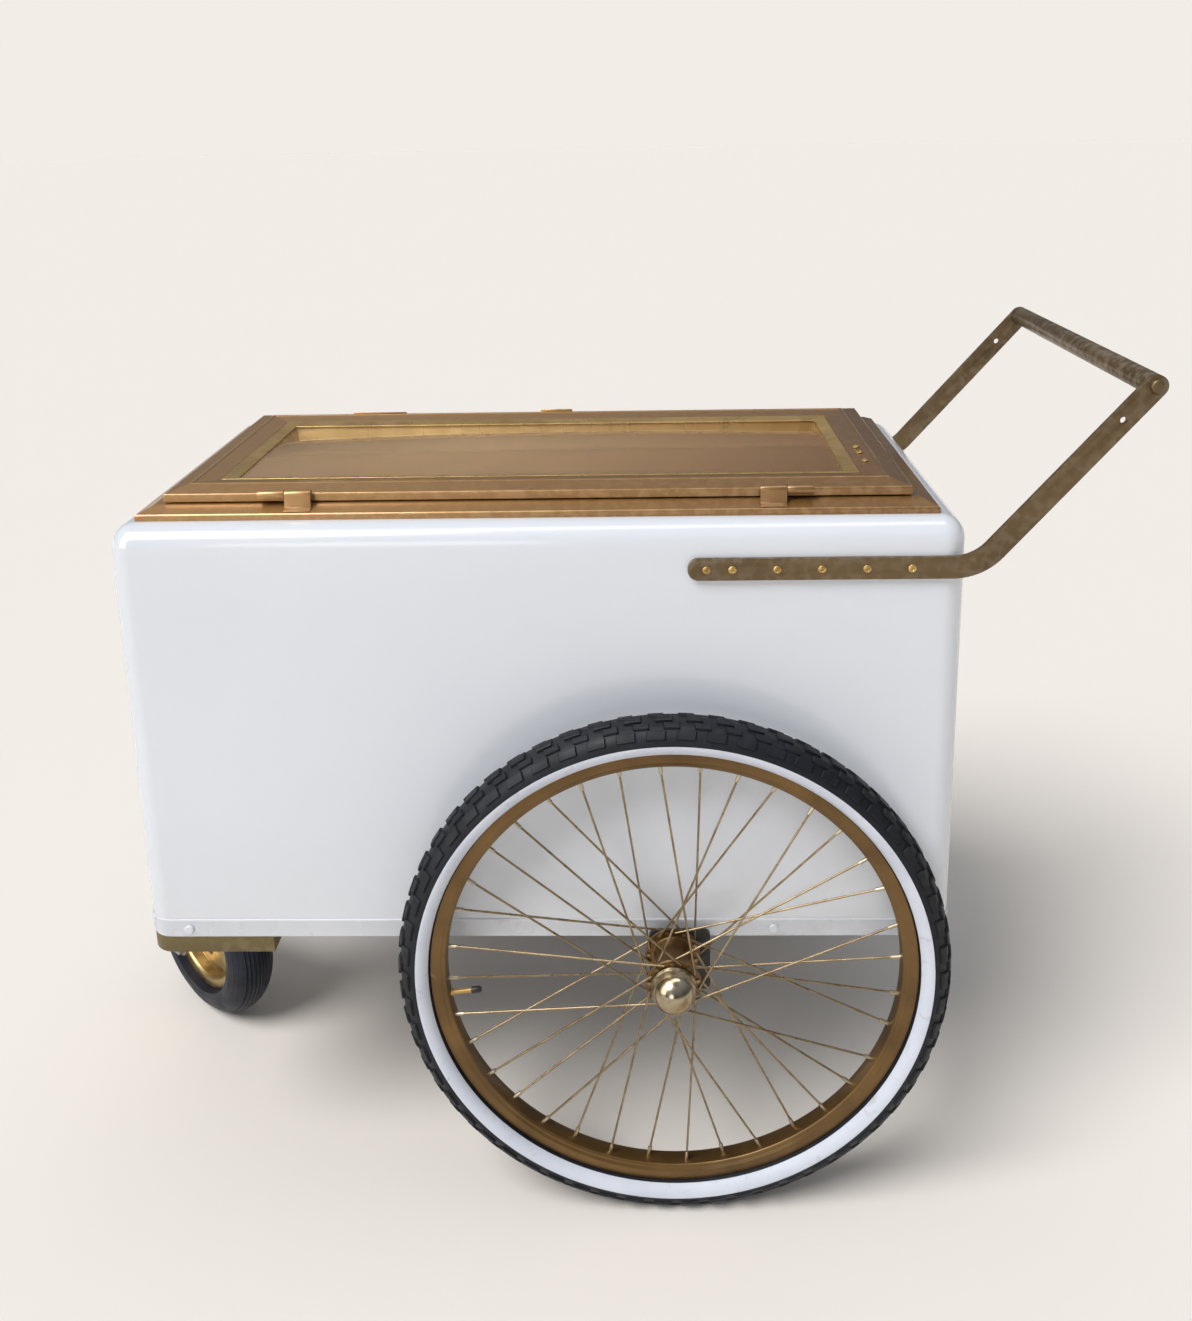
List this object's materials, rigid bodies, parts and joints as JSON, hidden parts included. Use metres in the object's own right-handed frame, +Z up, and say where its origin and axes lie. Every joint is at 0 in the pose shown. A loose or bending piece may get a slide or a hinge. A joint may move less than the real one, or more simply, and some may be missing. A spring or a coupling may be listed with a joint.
{
  "type": "push vending cart",
  "caption": "Insulated push cart with a hinged glazed lid, a rear push handle, spoked side wheels and a front swivel caster.",
  "frame": {"origin": "on the ground, under the middle of the cart's length and width", "axes": "+X rearwards to the handle, +Y to the side away from the lid hinges, +Z up"},
  "size_m": [1.3342, 0.703, 1.0302],
  "materials": {
    "shell_enamel": "high-gloss white gelcoat",
    "pan_enamel": "white enamel on folded sheet",
    "liner_plastic": "satin white liner",
    "foam": "rigid foam",
    "bronze_paint": "copper-bronze metallic paint",
    "brass": "polished brass",
    "aged_brass": "aged brass",
    "pane": "clear pane with a faint bronze tint",
    "gasket_rubber": "black sponge rubber",
    "dark_bronze_paint": "dark bronze paint",
    "steel": "machined steel",
    "black_paint": "black paint",
    "zinc_plate": "yellow zinc plate",
    "gold_paint_board": "bronze-gold painted board",
    "wheel_bronze": "bronze paint",
    "spoke_wire": "drawn wire with a bronze cast",
    "tyre_rubber": "black rubber, white sidewall band on the road wheels",
    "tube_rubber": "butyl rubber",
    "caster_rim_zinc": "yellow zinc plate"
  },
  "bodies": {
    "cart": {"axle": "steel", "axle_bracket_far": "black_paint", "axle_bracket_near": "black_paint", "axle_nuts_and_washers": "steel", "backing_strips": "steel", "base_rail_far": "bronze_paint", "base_rail_front": "bronze_paint", "base_rail_near": "bronze_paint", "base_rail_rear": "bronze_paint", "body_shell": "shell_enamel", "bottom_pan": "pan_enamel", "caster_board": "gold_paint_board", "caster_plate": "zinc_plate", "foam_core": "foam", "frame_bolts": "steel", "handle_bar_far": "dark_bronze_paint", "handle_bar_near": "dark_bronze_paint", "handle_bolts": "dark_bronze_paint", "handle_screws": "brass", "handle_tube": "dark_bronze_paint", "hinge_base_leaves": "bronze_paint", "hinge_pins": "steel", "lid_gasket": "gasket_rubber", "liner": "liner_plastic", "pan_rivets": "pan_enamel"},
    "lid": {"glazing_bead": "brass", "hinge_lid_leaves": "bronze_paint", "lid_glass": "pane", "lid_pull": "brass", "lid_rail_far": "bronze_paint", "lid_rail_front": "bronze_paint", "lid_rail_near": "bronze_paint", "lid_rail_rear": "bronze_paint", "lid_screws": "brass", "lid_stop": "bronze_paint"},
    "wheel_near": {"hub_near": "wheel_bronze", "hub_bearings_near": "steel", "dust_cap_near": "aged_brass", "spokes_near": "spoke_wire", "rim_near": "wheel_bronze", "tyre_near": "tyre_rubber", "inner_tube_near": "tube_rubber", "valve_near": "brass"},
    "wheel_far": {"hub_far": "wheel_bronze", "hub_bearings_far": "steel", "dust_cap_far": "aged_brass", "spokes_far": "spoke_wire", "rim_far": "wheel_bronze", "tyre_far": "tyre_rubber", "inner_tube_far": "tube_rubber", "valve_far": "brass"},
    "caster_swivel": {"caster_fork": "zinc_plate", "caster_kingpin": "steel", "caster_axle": "steel"},
    "caster_wheel": {"caster_rim": "caster_rim_zinc", "caster_tyre": "tyre_rubber", "caster_bearings": "steel", "caster_valve": "brass"}
  },
  "joints": [
    {"name": "lid_hinge", "type": "hinge", "parent": "cart", "child": "lid", "pos_m": [-0.02842, -0.1995, 0.8914], "axis": [1, 0, 0], "range_deg": [0, 110]},
    {"name": "wheel_near_spin", "type": "hinge", "parent": "cart", "child": "wheel_near", "pos_m": [0.12558, -0.287, 0.3264], "axis": [0, 1, 0], "continuous": true},
    {"name": "wheel_far_spin", "type": "hinge", "parent": "cart", "child": "wheel_far", "pos_m": [0.12558, 0.287, 0.3264], "axis": [0, 1, 0], "continuous": true},
    {"name": "caster_swivel_turn", "type": "hinge", "parent": "cart", "child": "caster_swivel", "pos_m": [-0.48742, 0, 0.2954], "axis": [0, 0, 1], "continuous": true},
    {"name": "caster_wheel_spin", "type": "hinge", "parent": "caster_swivel", "child": "caster_wheel", "pos_m": [-0.56172, 0.06235, 0.127], "axis": [0.6428, 0.766, 0], "continuous": true}
  ]
}
